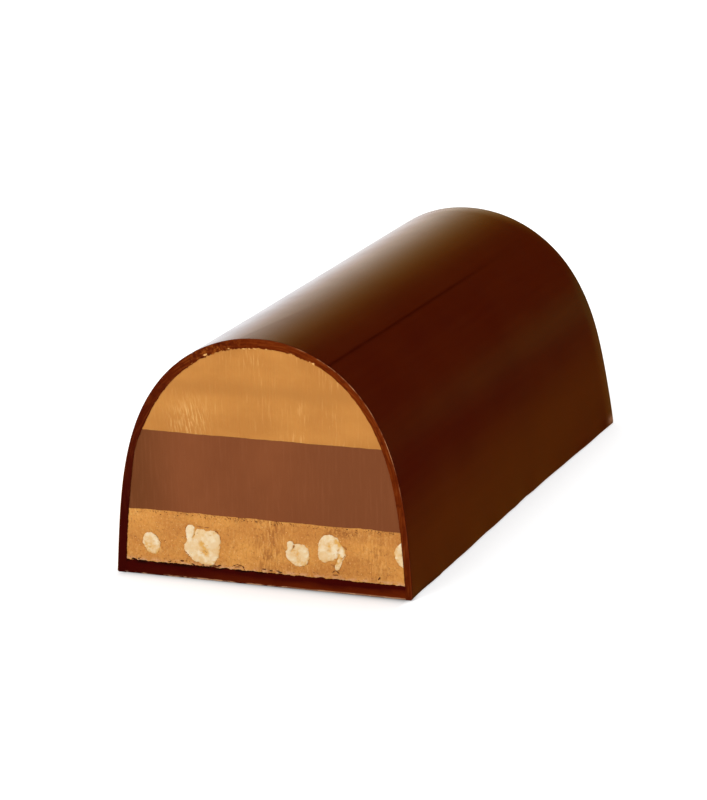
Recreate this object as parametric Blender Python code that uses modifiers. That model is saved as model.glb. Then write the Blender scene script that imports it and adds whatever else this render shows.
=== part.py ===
# A torrone bar of dark chocolate, cut across: a moulded arch closed at its far end, a base plate,
# and a filling of nut praline, ganache and smooth praline in level layers, with hazelnuts at the cut.
# Metres, +Z up. X is the width, Y the length with the cut face at -Y; the origin is under the middle.

import math

import bmesh
import bpy
from mathutils import Matrix

MM = 0.001

# The bar
FOOT_WIDTH = 80 * MM
HEIGHT = 64 * MM
FOOT_LENGTH = 176.5 * MM
SIDE_DRAFT = 0.066           # how far a side leans in for each unit of height
END_DRAFT = 0.18             # how far the moulded end leans in for each unit of height
CROWN_POWER = 3.5            # 2 gives a half ellipse, more gives straighter sides
END_RIM_RADIUS = 1.2 * MM    # rounding between the moulded end and the arch
ARCH_STEPS = 64

# Towards the moulded end the feet spread a little
FOOT_FLARE = 1.5 * MM        # on each side, at the floor
FLARE_HEIGHT = 10 * MM       # over which it fades upwards
FLARE_START_Y = 5 * MM

# The chocolate wall, thicker on the left and at the crown, thin in two places
WALL = 2.15 * MM
WALL_LEFT_EXTRA = 0.35 * MM
CROWN_EXTRA = 0.26 * MM
CROWN_SPREAD = math.radians(13)
LEFT_EXTRA = 0.2 * MM
LEFT_ANGLE = math.radians(120)
LEFT_SPREAD = math.radians(30)
LEFT_THINNING = 0.45 * MM
LEFT_THIN_ANGLE = math.radians(163)
LEFT_THIN_SPREAD = math.radians(8)
SHOULDER_THINNING = 0.2 * MM
SHOULDER_ANGLE = math.radians(58)
SHOULDER_SPREAD = math.radians(13)
END_WALL = 2.2 * MM

# Level surfaces, from the floor up
BASE_TOP = 3.6 * MM
GANACHE_BOTTOM = 17.3 * MM
GANACHE_TOP = 38.2 * MM

GAP = 0.3 * MM               # between neighbouring pieces
OVERCUT = 5 * MM             # how far a cutter passes the face that it cuts

CUT_FACE_Y = -FOOT_LENGTH / 2
END_Y = FOOT_LENGTH / 2

# Hazelnuts as they lie in the cut face. Each lobe: x and z of its middle, half width, half height,
# all in millimetres, and its lean in degrees, with the top to the left.
HAZELNUTS = {
    "hazelnut_1": {"depth": 2.6, "lobes": [(-30.2, 8.5, 2.3, 2.95, 22)]},
    "hazelnut_2": {"depth": 4.6, "lobes": [(-15.7, 8.4, 4.4, 4.35, 0), (-19.1, 7.8, 2.2, 2.4, 25),
                                           (-13.7, 10.8, 2.5, 2.6, 0), (-19.6, 12.0, 1.1, 2.6, -5)]},
    "hazelnut_3": {"depth": 3.0, "lobes": [(9.9, 9.0, 2.95, 3.05, 0), (7.7, 8.9, 1.45, 1.7, 20),
                                           (7.6, 11.2, 0.8, 1.5, -8)]},
    "hazelnut_4": {"depth": 3.6, "lobes": [(18.2, 11.6, 3.2, 3.6, 10), (20.7, 10.5, 1.7, 2.2, 20),
                                           (20.3, 7.8, 1.05, 2.1, -18)]},
    "hazelnut_5": {"depth": 3.0, "lobes": [(38.0, 11.5, 2.8, 3.3, 0)]},
}
NUT_SEGMENTS = 20
NUT_RINGS = 12


def clear_scene():
    for old in list(bpy.data.objects):
        bpy.data.objects.remove(old)


def new_collection(name):
    collection = bpy.data.collections.new(name)
    bpy.context.scene.collection.children.link(collection)
    return collection


def principled(name, colour, roughness):
    material = bpy.data.materials.new(name)
    material.use_nodes = True
    shader = material.node_tree.nodes["Principled BSDF"]
    shader.inputs["Base Color"].default_value = (*colour, 1.0)
    shader.inputs["Roughness"].default_value = roughness
    shader.inputs["Metallic"].default_value = 0.0
    return material


def dark_chocolate():
    return principled("dark_chocolate", (0.050, 0.013, 0.004), 0.22)


def smooth_praline():
    return principled("smooth_praline", (0.60, 0.25, 0.065), 0.55)


def nut_praline():
    return principled("nut_praline", (0.58, 0.24, 0.06), 0.65)


def milk_ganache():
    return principled("milk_ganache", (0.22, 0.070, 0.028), 0.5)


def hazelnut_flesh():
    return principled("hazelnut_flesh", (0.85, 0.62, 0.36), 0.5)


def bump(angle, middle, spread):
    return math.exp(-((angle - middle) / spread) ** 2)


def wall_thickness(angle):
    """Thickness of the arch at an angle that runs from 0, the right foot, to pi, the left foot."""
    thickness = WALL - WALL_LEFT_EXTRA * math.cos(angle)
    thickness += CROWN_EXTRA * bump(angle, math.pi / 2, CROWN_SPREAD)
    thickness += LEFT_EXTRA * bump(angle, LEFT_ANGLE, LEFT_SPREAD)
    thickness -= LEFT_THINNING * bump(angle, LEFT_THIN_ANGLE, LEFT_THIN_SPREAD)
    return thickness - SHOULDER_THINNING * bump(angle, SHOULDER_ANGLE, SHOULDER_SPREAD)


def arch_point(angle):
    """A point (x, z) on the outside of the arch."""
    z = HEIGHT * abs(math.sin(angle)) ** (2 / CROWN_POWER)
    return (FOOT_WIDTH / 2 - SIDE_DRAFT * z) * math.cos(angle), z


def arch_outline(clearance=None):
    """The arch from foot to foot, or with a clearance the inside of its wall, that much further in."""
    step = math.pi / ARCH_STEPS
    outline = []
    for i in range(ARCH_STEPS + 1):
        angle = i * step
        x, z = arch_point(angle)
        if clearance is not None:
            before = arch_point(max(angle - step / 4, 0.0))
            after = arch_point(min(angle + step / 4, math.pi))
            along_x, along_z = after[0] - before[0], after[1] - before[1]
            inward = (wall_thickness(angle) + clearance) / math.hypot(along_x, along_z)
            x -= along_z * inward
            z += along_x * inward
        outline.append((x, z))
    return [(outline[0][0], 0.0), *outline[1:-1], (outline[-1][0], 0.0)]


def mesh_from_curve(curve_object, collection):
    """Replaces a curve object with a welded mesh object of the same name and place."""
    graph = bpy.context.evaluated_depsgraph_get()
    mesh = bpy.data.meshes.new_from_object(curve_object.evaluated_get(graph))
    mesh.transform(curve_object.matrix_world)
    name = curve_object.name
    bpy.data.objects.remove(curve_object)
    body = bmesh.new()
    body.from_mesh(mesh)
    bmesh.ops.remove_doubles(body, verts=body.verts, dist=0.01 * MM)
    body.to_mesh(mesh)
    body.free()
    mesh.name = name
    mesh_object = bpy.data.objects.new(name, mesh)
    collection.objects.link(mesh_object)
    return mesh_object


def loaf(name, outline, near, far, collection):
    """An outline in X and Z, drawn out along Y. Its far end leans in by the end draft."""
    curve = bpy.data.curves.new(name, "CURVE")
    curve.dimensions = "2D"
    curve.fill_mode = "BOTH"
    curve.extrude = (far - near) / 2
    spline = curve.splines.new("POLY")
    spline.points.add(len(outline) - 1)
    for point, (x, z) in zip(spline.points, outline):
        point.co = (x, z, 0.0, 1.0)
    spline.use_cyclic_u = True
    curve_object = bpy.data.objects.new(name, curve)
    collection.objects.link(curve_object)
    curve_object.matrix_world = (Matrix.Translation((0, (near + far) / 2, 0))
                                 @ Matrix.Rotation(math.pi / 2, 4, "X"))
    bpy.context.view_layer.update()
    result = mesh_from_curve(curve_object, collection)
    for vertex in result.data.vertices:
        if vertex.co.y > (near + far) / 2:
            vertex.co.y -= END_DRAFT * vertex.co.z
    result.data.shade_smooth()
    result.data.set_sharp_from_angle(angle=math.radians(30))
    return result


def spread_far_feet(bar):
    """Moves the feet outwards towards the moulded end, from a ring of edges cut in half way."""
    body = bmesh.new()
    body.from_mesh(bar.data)
    everything = body.verts[:] + body.edges[:] + body.faces[:]
    bmesh.ops.bisect_plane(body, geom=everything, dist=0.01 * MM, plane_co=(0, FLARE_START_Y, 0),
                           plane_no=(0, 1, 0))
    for vertex in body.verts:
        if vertex.co.y > FLARE_START_Y + GAP and abs(vertex.co.x) > GAP:
            flare = FOOT_FLARE * math.exp(-vertex.co.z / FLARE_HEIGHT)
            vertex.co.x += math.copysign(flare, vertex.co.x)
    body.to_mesh(bar.data)
    body.free()


def round_end_rim(bar):
    """Rounds the edge where the arch meets the moulded end, but not the edge on the floor."""
    body = bmesh.new()
    body.from_mesh(bar.data)
    weight = body.edges.layers.float.new("bevel_weight_edge")
    for edge in body.edges:
        at_end = all(vertex.co.y > 0 for vertex in edge.verts)
        on_floor = all(vertex.co.z < GAP for vertex in edge.verts)
        if at_end and not on_floor and edge.calc_face_angle(0.0) > math.radians(60):
            edge[weight] = 1.0
    body.to_mesh(bar.data)
    body.free()
    rim = bar.modifiers.new("end rim", "BEVEL")
    rim.limit_method = "WEIGHT"
    rim.width = END_RIM_RADIUS
    rim.segments = 3


def box(name, low, high, collection):
    body = bmesh.new()
    middle = [(a + b) / 2 for a, b in zip(low, high)]
    size = [b - a for a, b in zip(low, high)]
    place = Matrix.Translation(middle) @ Matrix.Diagonal((*size, 1.0))
    bmesh.ops.create_cube(body, size=1.0, matrix=place)
    mesh = bpy.data.meshes.new(name)
    body.to_mesh(mesh)
    body.free()
    box_object = bpy.data.objects.new(name, mesh)
    collection.objects.link(box_object)
    return box_object


def boolean(target, other, operation):
    modifier = target.modifiers.new(f"{operation.lower()} {other.name}", "BOOLEAN")
    modifier.operation = operation
    modifier.solver = "EXACT"
    modifier.object = other


def make_shell(parts, cutters):
    """The moulded arch and its end wall, open below and at the cut."""
    shell = loaf("chocolate_shell", arch_outline(), CUT_FACE_Y, END_Y, parts)
    spread_far_feet(shell)
    round_end_rim(shell)
    inside = arch_outline(clearance=0.0)
    below_floor = [(inside[0][0], -OVERCUT), *inside, (inside[-1][0], -OVERCUT)]
    cavity = loaf("cavity", below_floor, CUT_FACE_Y - OVERCUT, END_Y - END_WALL, cutters)
    boolean(shell, cavity, "DIFFERENCE")
    return shell


def make_layer(name, low, high, parts, cutters):
    """What fills the arch between two heights, clear of the wall."""
    layer = loaf(name, arch_outline(clearance=GAP), CUT_FACE_Y, END_Y - END_WALL - GAP, parts)
    slab = box(f"{name} slab", (-FOOT_WIDTH, -FOOT_LENGTH, low), (FOOT_WIDTH, FOOT_LENGTH, high), cutters)
    boolean(layer, slab, "INTERSECT")
    return layer


def lobe_mesh(name, lobe, depth, grow):
    x, z, half_width, half_height, lean = lobe
    radii = [(size * MM + grow) for size in (half_width, depth, half_height)]
    place = (Matrix.Translation((x * MM, CUT_FACE_Y, z * MM))
             @ Matrix.Rotation(math.radians(-lean), 4, "Y")
             @ Matrix.Diagonal((*radii, 1.0)))
    body = bmesh.new()
    bmesh.ops.create_uvsphere(body, u_segments=NUT_SEGMENTS, v_segments=NUT_RINGS, radius=1.0, matrix=place)
    mesh = bpy.data.meshes.new(name)
    body.to_mesh(mesh)
    body.free()
    mesh.shade_smooth()
    return mesh


def lobed_body(name, nut, grow, collection, cutters):
    """All lobes of a nut as one body, each of them larger by grow."""
    first, *others = nut["lobes"]
    body = bpy.data.objects.new(name, lobe_mesh(name, first, nut["depth"], grow))
    collection.objects.link(body)
    for number, lobe in enumerate(others, start=2):
        depth = nut["depth"] * lobe[2] / first[2]
        lobe_name = f"{name} lobe {number}"
        lobe_object = bpy.data.objects.new(lobe_name, lobe_mesh(lobe_name, lobe, depth, grow))
        cutters.objects.link(lobe_object)
        boolean(body, lobe_object, "UNION")
    return body


def make_hazelnut(name, praline, kept_side, parts, cutters):
    """A nut cut off flush with the cut face, and its pocket in the praline."""
    nut = lobed_body(name, HAZELNUTS[name], 0.0, parts, cutters)
    boolean(nut, kept_side, "INTERSECT")
    pocket = lobed_body(f"{name} pocket", HAZELNUTS[name], GAP, cutters, cutters)
    boolean(praline, pocket, "DIFFERENCE")
    return nut


def hide_cutters(cutters):
    for cutter in cutters.objects:
        cutter.hide_render = True
        cutter.display_type = "WIRE"


def build_torrone():
    clear_scene()
    parts = new_collection("torrone")
    cutters = new_collection("cutters")
    make_shell(parts, cutters).data.materials.append(dark_chocolate())
    base = make_layer("chocolate_base", -OVERCUT, BASE_TOP, parts, cutters)
    base.data.materials.append(dark_chocolate())
    praline = make_layer("praline_nut", BASE_TOP + GAP, GANACHE_BOTTOM - GAP, parts, cutters)
    praline.data.materials.append(nut_praline())
    ganache = make_layer("ganache", GANACHE_BOTTOM, GANACHE_TOP, parts, cutters)
    ganache.data.materials.append(milk_ganache())
    top = make_layer("praline_top", GANACHE_TOP + GAP, HEIGHT + OVERCUT, parts, cutters)
    top.data.materials.append(smooth_praline())
    kept_side = loaf("kept side", arch_outline(clearance=GAP), CUT_FACE_Y, END_Y - END_WALL, cutters)
    flesh = hazelnut_flesh()
    for name in HAZELNUTS:
        make_hazelnut(name, praline, kept_side, parts, cutters).data.materials.append(flesh)
    hide_cutters(cutters)


build_torrone()
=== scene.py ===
import math

import bmesh
import bpy
import numpy as np
from mathutils import Matrix, Vector, noise
from mathutils.kdtree import KDTree


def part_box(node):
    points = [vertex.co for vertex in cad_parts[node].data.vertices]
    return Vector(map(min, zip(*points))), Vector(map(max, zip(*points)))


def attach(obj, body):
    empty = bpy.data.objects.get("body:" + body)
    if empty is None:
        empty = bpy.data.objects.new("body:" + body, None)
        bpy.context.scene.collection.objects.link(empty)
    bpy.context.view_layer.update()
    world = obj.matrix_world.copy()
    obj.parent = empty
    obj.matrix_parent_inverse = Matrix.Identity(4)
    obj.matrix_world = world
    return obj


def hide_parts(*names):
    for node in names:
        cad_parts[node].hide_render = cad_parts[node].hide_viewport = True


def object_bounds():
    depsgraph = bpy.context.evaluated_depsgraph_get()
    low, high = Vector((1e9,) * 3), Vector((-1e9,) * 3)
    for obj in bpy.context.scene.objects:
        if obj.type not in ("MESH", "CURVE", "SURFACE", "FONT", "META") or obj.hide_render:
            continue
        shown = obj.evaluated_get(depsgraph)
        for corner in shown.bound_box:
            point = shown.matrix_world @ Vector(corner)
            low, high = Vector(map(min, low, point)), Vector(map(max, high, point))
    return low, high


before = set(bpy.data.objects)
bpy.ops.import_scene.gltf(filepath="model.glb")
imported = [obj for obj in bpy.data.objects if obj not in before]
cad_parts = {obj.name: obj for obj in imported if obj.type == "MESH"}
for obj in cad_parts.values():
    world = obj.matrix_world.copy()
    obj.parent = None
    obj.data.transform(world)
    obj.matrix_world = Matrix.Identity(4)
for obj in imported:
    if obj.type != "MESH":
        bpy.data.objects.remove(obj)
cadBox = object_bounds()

# A chocolate torrone bar, cut across. Metres, X across, Y along with the cut face at -Y, Z up.
# Sizes in the dictionaries are in millimetres where a name doesn't say otherwise.

mm = 0.001
halfPi = math.pi / 2
noise.seed_set(7)                  # each run draws the same

boxLow, boxHigh = cadBox
nearY = boxLow.y                   # plane of the cut
endY = boxHigh.y                   # foot of the moulded end

arch = {
    "footWidth": 80 * mm,          # at the cut
    "height": boxHigh.z,
    "sideDraft": 0.066,            # how far a side leans in for each unit of height
    "crownPower": 3.5,             # 2 is a half ellipse, more has straighter sides
    "footFlare": 1.5 * mm,         # how far a foot spreads towards the moulded end
    "flareHeight": 10 * mm,        # over which the spread fades upwards
    "flareStart": 5 * mm,          # where along the bar it begins
    "wall": 2.15 * mm,
    "leftExtra": 0.35 * mm,        # thicker on the left, as much thinner on the right
    "crownExtra": 0.26 * mm,
    "leftBulge": 0.2 * mm,
    "leftThinning": 0.55 * mm,     # the thin place low on the left
    "shoulderThinning": 0.2 * mm,  # the thin place on the right shoulder
}
wallPlaces = (                     # in degrees from the right foot: middle, half width, thicker or thinner
    ("crownExtra", 90, 13, 1),
    ("leftBulge", 120, 30, 1),
    ("leftThinning", 160.5, 6.5, -1),
    ("shoulderThinning", 58, 13, -1),
)
endDraft = 0.18                    # how far the moulded end leans in for each unit of height
endWall = 2.2 * mm

levels = {                         # mean heights of the level surfaces
    "baseTop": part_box("chocolate_base")[1].z,
    "ganacheBottom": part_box("ganache")[0].z,
    "ganacheTop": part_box("ganache")[1].z,
}


# One way of writing a formula for both node trees and arrays.

class Field:
    def __init__(self, tree, socket):
        self.tree = tree
        self.socket = socket


for symbol, operation in (("add", "ADD"), ("sub", "SUBTRACT"), ("mul", "MULTIPLY"), ("truediv", "DIVIDE")):
    setattr(Field, f"__{symbol}__", lambda self, other, step=operation: calc(step, self, other))
    setattr(Field, f"__r{symbol}__", lambda self, other, step=operation: calc(step, other, self))


arrayMath = {
    "ADD": np.add, "SUBTRACT": np.subtract, "MULTIPLY": np.multiply, "DIVIDE": np.divide,
    "POWER": np.power, "SQRT": np.sqrt, "EXPONENT": np.exp, "SINE": np.sin, "COSINE": np.cos,
    "MAXIMUM": np.maximum,
}


def calc(operation, *values):
    fields = [value for value in values if isinstance(value, Field)]
    if not fields:
        return arrayMath[operation](*values)
    tree = fields[0].tree
    step = tree.nodes.new("ShaderNodeMath")
    step.operation = operation
    for socket, value in zip(step.inputs, values):
        if isinstance(value, Field):
            tree.links.new(value.socket, socket)
        else:
            socket.default_value = value
    return Field(tree, step.outputs[0])


def clamped(value, low=0.0, high=1.0):
    return calc("MINIMUM", calc("MAXIMUM", value, low), high)


def bell(distance, spread):
    ratio = distance / spread
    return calc("EXPONENT", 0.0 - ratio * ratio)


def archPoint(angle, sizes):       # outside of the arch, right half, from foot (0) to crown (half pi)
    z = sizes["height"] * calc("POWER", calc("SINE", angle), 2 / sizes["crownPower"])
    x = (sizes["footWidth"] / 2 - sizes["sideDraft"] * z) * calc("COSINE", angle)
    return x, z


def wallThickness(angle, side, sizes):
    degrees = (halfPi - side * (halfPi - angle)) * (180 / math.pi)   # right foot 0, left foot 180
    thickness = sizes["wall"] - sizes["leftExtra"] * side * calc("COSINE", angle)
    for label, middle, spread, sign in wallPlaces:
        thickness = thickness + sizes[label] * bell(degrees - middle, spread) * sign
    return thickness


def insetPoint(angle, side, inset, sizes):
    reach = 0.006
    x, z = archPoint(angle, sizes)
    beforeX, beforeZ = archPoint(calc("MAXIMUM", angle - reach, 0.0), sizes)
    afterX, afterZ = archPoint(angle + reach, sizes)
    alongX, alongZ = afterX - beforeX, afterZ - beforeZ
    scale = inset / calc("SQRT", alongX * alongX + alongZ * alongZ)
    return (x - alongZ * scale) * side, calc("MAXIMUM", z + alongX * scale, 0.0)


# Helpers for node trees.

def toSocket(value, socket):
    socket.id_data.links.new(value.socket if isinstance(value, Field) else value, socket)


def addNode(tree, kind, inputs=None, **settings):
    made = tree.nodes.new(kind)
    for name, value in settings.items():
        setattr(made, name, value)
    for name, value in (inputs or {}).items():
        if isinstance(value, (Field, bpy.types.NodeSocket)):
            toSocket(value, made.inputs[name])
        else:
            made.inputs[name].default_value = value
    return made


def treeOf(*values):               # the node tree that the first field or socket stands in
    for value in values:
        if isinstance(value, Field):
            return value.tree
        if isinstance(value, bpy.types.NodeSocket):
            return value.id_data


def axes(vector):                  # the three parts of a place
    tree = vector.id_data
    return [Field(tree, socket) for socket in addNode(tree, "ShaderNodeSeparateXYZ", {0: vector}).outputs]


def ownPosition(tree):
    return addNode(tree, "GeometryNodeInputPosition").outputs[0]


def combine(x, y, z):
    return addNode(treeOf(x, y, z), "ShaderNodeCombineXYZ", {"X": x, "Y": y, "Z": z}).outputs[0]


def noiseField(vector, scale, detail=2.0, roughness=0.5, seed=0.0):
    made = addNode(vector.id_data, "ShaderNodeTexNoise",
                   {"Vector": vector, "W": seed, "Scale": scale, "Detail": detail, "Roughness": roughness},
                   noise_dimensions="4D")
    return Field(vector.id_data, made.outputs[0])


def rampField(factor, *stops):     # each stop is a place and a level or a colour
    made = addNode(factor.tree, "ShaderNodeValToRGB", {"Fac": factor})
    elements = made.color_ramp.elements
    while len(elements) < len(stops):
        elements.new(1.0)
    for element, (place, level) in zip(elements, stops):
        element.position = place
        element.color = (level, level, level, 1.0) if isinstance(level, (int, float)) else (*level, 1.0)
    return Field(factor.tree, made.outputs[0])


def newSizeTree(name, sizes):
    tree = bpy.data.node_groups.new(name, "GeometryNodeTree")
    tree.interface.new_socket("Geometry", in_out="OUTPUT", socket_type="NodeSocketGeometry")
    for label, value in sizes.items():
        kind = "NodeSocketInt" if isinstance(value, int) else "NodeSocketFloat"
        tree.interface.new_socket(label, in_out="INPUT", socket_type=kind).default_value = value
    start = addNode(tree, "NodeGroupInput")
    return tree, {label: Field(tree, start.outputs[label]) for label in sizes}


def endTree(tree, geometry):
    toSocket(geometry, addNode(tree, "NodeGroupOutput").inputs[0])


def newObject(name, data):
    made = bpy.data.objects.new(name, data)
    bpy.context.scene.collection.objects.link(made)
    return made


def meshFromBody(name, body):
    mesh = bpy.data.meshes.new(name)
    body.to_mesh(mesh)
    body.free()
    return mesh


def evaluatedMesh(carrier):
    bpy.context.view_layer.update()
    graph = bpy.context.evaluated_depsgraph_get()
    return bpy.data.meshes.new_from_object(carrier.evaluated_get(graph))


def meshFromTree(name, tree, sizes):
    carrier = newObject(name, bpy.data.meshes.new(name))
    modifier = carrier.modifiers.new(name, "NODES")
    modifier.node_group = tree
    for item in tree.interface.items_tree:
        if item.in_out == "INPUT":
            modifier[item.identifier] = sizes[item.name]
    mesh = evaluatedMesh(carrier)
    carrier.modifiers.remove(modifier)
    carrier.data = mesh
    return carrier


noSharpEdges = 180                 # degrees


def finishPiece(piece, nodes=(), sharpDegrees=40):
    piece.data.shade_smooth()
    piece.data.set_sharp_from_angle(angle=math.radians(sharpDegrees))
    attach(piece, "root")
    if nodes:
        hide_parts(*nodes)
    print(f"{piece.name}: {len(piece.data.polygons)} faces")


# Materials: all patterns lie in millimetres of Object coordinates.

def newMaterial(name, roughness, **values):
    material = bpy.data.materials.new(name)
    material.use_nodes = True
    tree = material.node_tree
    shader = tree.nodes["Principled BSDF"]
    shader.inputs["Roughness"].default_value = roughness
    for label, value in values.items():
        shader.inputs[label.replace("_", " ")].default_value = value
    place = addNode(tree, "ShaderNodeTexCoord").outputs["Object"]
    inMm = addNode(tree, "ShaderNodeVectorMath", {0: place}, operation="SCALE")
    inMm.inputs["Scale"].default_value = 1 / mm
    return material, shader, inMm.outputs[0]


def stretched(vector, x, y, z):
    return addNode(vector.id_data, "ShaderNodeMapping", {"Vector": vector, "Scale": (x, y, z)}).outputs[0]


def mixColour(factor, first, second, blend="MIX"):
    first, second = ((*value, 1.0) if isinstance(value, tuple) else value for value in (first, second))
    made = addNode(treeOf(factor, first, second), "ShaderNodeMix", {0: factor, 6: first, 7: second},
                   data_type="RGBA", blend_type=blend)
    return made.outputs[2]


def bumpInto(shader, height, strength, distanceMm):
    bump = addNode(shader.id_data, "ShaderNodeBump",
                   {"Height": height, "Strength": strength, "Distance": distanceMm * mm})
    toSocket(bump.outputs[0], shader.inputs["Normal"])


def attributeField(place, name):
    tree = place.id_data
    return Field(tree, addNode(tree, "ShaderNodeAttribute", attribute_name=name).outputs["Fac"])


def softFlesh(shader, weight, radius, scaleMm):
    shader.inputs["Subsurface Weight"].default_value = weight
    shader.inputs["Subsurface Radius"].default_value = radius
    shader.inputs["Subsurface Scale"].default_value = scaleMm * mm


springZ = 24.5                     # mm, where the straight side turns into the arch
archRadius = 39.0                  # mm, about


def wallCoordinates(place):        # along the wall, through it, and along the bar, in mm
    x, y, z = axes(place)
    lift = calc("MAXIMUM", z - springZ, 0.0)
    out = calc("ABSOLUTE", x)
    along = calc("ARCTAN2", lift, out) * archRadius + calc("MINIMUM", z - springZ, 0.0)
    across = calc("SQRT", out * out + lift * lift)
    return combine(along * calc("SIGN", x), y, across), x, z


mouldedLook = {                    # places in mm: x across, z up, along from the cut
    "tones": ((0.053, 0.0018, 0.0), (0.062, 0.0038, 0.0)),
    "flowTint": (0.086, 0.010, 0.0003),
    # painted shade along the crease on the right shoulder
    "creaseShadeTint": (0.028, 0.0004, 0.0),
    "creasePlace": (18.7, 58.3),   # x and z at the cut
    "creaseDrift": (0.010, 0.0068),            # out and down, for each mm along
    "creaseWidth": 0.50,
    "creaseEnd": 158,
    "creaseFade": 70,
    "footShadeTint": (0.020, 0.0008, 0.0),          # painted shade: dark line at the floor near the cut
    "footEnd": 24,
    "footHighlightTint": (0.40, 0.19, 0.12),          # painted highlight: pale spot at the far right foot
    "footHighlightPlace": (172, 1.6),     # along and z
    "roughness": 0.14,
    "gloss": 0.28,
    "streakStart": -3.6,           # x at the cut of the dull streak on the crown
    "streakEnd": 52,
    "streakLean": 0.16,
}


def mouldedChocolate():
    look = mouldedLook
    material, shader, place = newMaterial("mouldedChocolate", 0.2)
    x, y, z = axes(place)
    along = y - nearY / mm
    cloud = rampField(noiseField(place, 0.045, 3.0), (0.3, 0.0), (0.7, 1.0))
    colour = mixColour(cloud, *look["tones"])
    flow = noiseField(stretched(place, 1.6, 0.05, 1.6), 0.5, 4.0)
    colour = mixColour(rampField(flow, (0.45, 0.0), (0.75, 0.3)), colour, look["flowTint"])
    # painted shade: a dark line along the crease on the right shoulder, fading along the bar; it also
    # lowers the gloss there
    creaseX, creaseZ = look["creasePlace"]
    driftX, driftZ = look["creaseDrift"]
    offX, offZ = x - creaseX - along * driftX, z - creaseZ + along * driftZ
    crease = bell(calc("SQRT", offX * offX + offZ * offZ), look["creaseWidth"])
    crease = crease * clamped((look["creaseEnd"] - along) / look["creaseFade"])
    wobble = noiseField(stretched(place, 0.1, 0.16, 0.1), 1.0, 2.0, 0.6, 17.0)
    crease = crease * (0.4 + wobble)
    colour = mixColour(crease * 0.85, colour, look["creaseShadeTint"])
    # painted shade under the foot near the cut, which also dulls the gloss there
    under = bell(z, 1.0) * clamped((look["footEnd"] - along) / 12, high=0.8)
    colour = mixColour(under, colour, look["footShadeTint"])
    # painted highlight low on the far right foot
    highlightAlong, highlightZ = look["footHighlightPlace"]
    footHighlight = bell(along - highlightAlong, 2.5) * bell(z - highlightZ, 1.1) * clamped(x - 38, high=0.55)
    colour = mixColour(footHighlight, colour, look["footHighlightTint"])
    toSocket(colour, shader.inputs["Base Color"])
    scuff = noiseField(stretched(place, 2.2, 0.12, 2.2), 1.0, 3.0, 0.6, 11.0)
    scuff = rampField(scuff, (0.70, 0.0), (0.78, 1.0))
    dull = noiseField(place, 0.12, 5.0, 0.6, 3.0)
    toSocket(look["roughness"] + dull * 0.12 + scuff * 0.05, shader.inputs["Roughness"])
    aside = x - look["streakStart"] - (along - 8) * look["streakLean"]
    streak = clamped(aside * 1.5) * bell(aside, 5.0) * 0.42 + bell(aside, 0.4) * 0.50
    streak = streak * clamped((look["streakEnd"] - along) / 30)
    gloss = (look["gloss"] - crease * 0.25) * (1 - streak) * clamped(along / 0.4) * (1 - under)
    toSocket(gloss + 0.02, shader.inputs["Specular IOR Level"])
    fine = noiseField(stretched(place, 1.0, 0.05, 1.0), 0.7, 2.0, 0.5, 7.0)
    bumpInto(shader, fine, 0.10, 0.05)
    return material


cutLook = {
    "deep": (0.036, 0.0010, 0.0001),           # low on the left
    "lit": (0.128, 0.0165, 0.0003),            # high and on the right
    "dragged": (0.27, 0.060, 0.008),
    "pressed": (0.040, 0.0030, 0.0003),
    "blotched": (0.040, 0.0032, 0.0003),
    "chipHighlight": (0.26, 0.064, 0.007),        # painted highlight on the chips of the bruised stretch left of the crown
    # painted shade in the chips of that stretch
    "chipShade": (0.034, 0.0040, 0.0004),
    "bruiseX": -11.5,
    "innerLine": (0.46, 0.19, 0.055),          # pale line beside the filling
}


def cutChocolate():
    look = cutLook
    material, shader, place = newMaterial("cutChocolate", 0.5, Specular_IOR_Level=0.02)
    wall, x, z = wallCoordinates(place)
    right = clamped(x / 60 + 0.5)
    lit = clamped((z - 8) / 46) * 0.55 + right * 0.6
    colour = mixColour(lit - 0.12, look["deep"], look["lit"])
    drag = noiseField(stretched(wall, 0.22, 1.0, 2.4), 1.0, 5.0, 0.6, 4.0)
    colour = mixColour(rampField(drag, (0.50, 0.0), (0.72, 0.6)) * lit, colour, look["dragged"])
    colour = mixColour(rampField(drag, (0.30, 0.6), (0.47, 0.0)) * lit, colour, look["pressed"])
    blotch = noiseField(place, 0.9, 3.0, 0.6, 2.0)
    colour = mixColour(rampField(blotch, (0.54, 0.0), (0.68, 0.5)), colour, look["blotched"])
    # the chipped stretch left of the crown: its pale and dark mottle, which follows its bumps, is painted
    # highlight and shade
    bruised = bell(x - look["bruiseX"], 5.5) * rampField(z / 60, (0.80, 0.0), (0.90, 1.0))
    mottle = noiseField(place, 0.75, 3.0, 0.65, 12.0)
    colour = mixColour(rampField(mottle, (0.51, 0.0), (0.64, 0.9)) * bruised, colour, look["chipHighlight"])
    colour = mixColour(rampField(mottle, (0.36, 0.8), (0.46, 0.0)) * bruised, colour, look["chipShade"])
    inner = rampField(attributeField(place, "depth"), (0.86, 0.0), (0.95, 0.9))
    inner = inner * rampField(blotch, (0.40, 0.1), (0.54, 1.0)) * clamped((z - 13) / 6)
    colour = mixColour(inner * right, colour, look["innerLine"])
    toSocket(colour, shader.inputs["Base Color"])
    grain = noiseField(place, 3.0, 4.0, 0.65, 8.0)
    bumpInto(shader, grain + drag * 1.5 + mottle * bruised * 2, 0.6, 0.08)
    return material


# plain is the cut edge's own colour; pale and left are painted highlight
edgeHighlightLook = {"plain": (0.105, 0.014, 0.001), "pale": (0.46, 0.215, 0.095), "left": (0.50, 0.22, 0.06)}


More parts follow.
